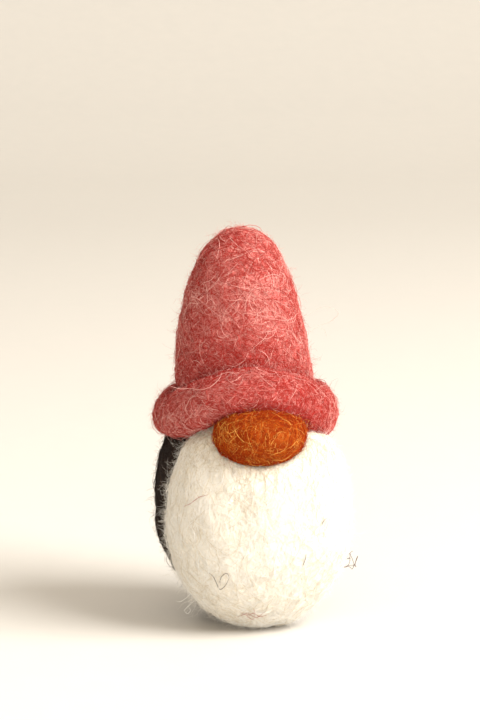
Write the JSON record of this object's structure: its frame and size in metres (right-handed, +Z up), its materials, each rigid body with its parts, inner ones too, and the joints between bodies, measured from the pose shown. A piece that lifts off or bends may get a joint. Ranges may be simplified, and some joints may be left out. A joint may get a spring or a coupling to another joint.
{
  "type": "needle-felted gnome figurine",
  "caption": "Small needle-felted wool gnome: egg-shaped body, round beard, ball nose, and a tall hat with a thick rolled brim that lifts off the head.",
  "frame": {"origin": "on the table, under the middle of the whole gnome's bounding box", "axes": "+Z up, the gnome faces -Y, +X is on the right of someone who looks at its face"},
  "size_m": [0.0266, 0.031, 0.055],
  "materials": {
    "core_wool": "loose undyed wool",
    "dark_wool": "needle-felted wool",
    "white_wool": "needle-felted wool",
    "ochre_wool": "needle-felted wool",
    "pink_wool": "needle-felted wool"
  },
  "bodies": {
    "figure": {"body_core": "core_wool", "body_wrap": "dark_wool", "beard": "white_wool", "nose": "ochre_wool"},
    "hat": {"hat_crown": "pink_wool", "hat_brim": "pink_wool", "hat_stuffing": "core_wool"}
  },
  "joints": [
    {"name": "hat_lift", "type": "slide", "parent": "figure", "child": "hat", "axis": [0, 0, 1], "range_m": [0, 0.02]}
  ]
}
